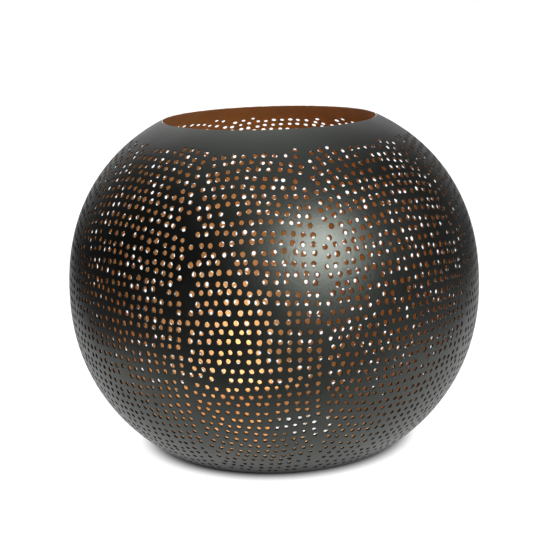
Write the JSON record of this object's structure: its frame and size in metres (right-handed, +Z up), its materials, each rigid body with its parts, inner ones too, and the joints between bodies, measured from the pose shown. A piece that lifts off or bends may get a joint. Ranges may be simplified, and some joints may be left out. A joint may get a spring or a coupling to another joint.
{
  "type": "tealight holder",
  "caption": "Squat metal ball with a pierced wall, a round mouth and a flat base, holding a loose tealight on its floor.",
  "frame": {"origin": "centre of the flat base, on the surface that the ball stands on", "axes": "+Z up along the ball's axis, through the centre of the mouth; +X to the right and -Y towards the front"},
  "size_m": [0.25, 0.25, 0.1984],
  "materials": {
    "blackened_steel": "satin blackened steel outside, warm gold paint inside",
    "gold_lining": "warm gold paint on the inside of the ball",
    "cup_foil": "thin bright foil",
    "wax": "smooth white paraffin wax",
    "wick_cotton": "braided cotton, waxed",
    "tab_steel": "tinned steel"
  },
  "bodies": {
    "ball": {"ball_shell": "blackened_steel"},
    "tealight": {"tealight_cup": "cup_foil", "wax": "wax", "wick": "wick_cotton", "wick_tab": "tab_steel"}
  },
  "joints": [
    {"name": "tealight_lift", "type": "slide", "parent": "ball", "child": "tealight", "axis": [0, 0, 1], "range_m": [0, 0.23]}
  ]
}
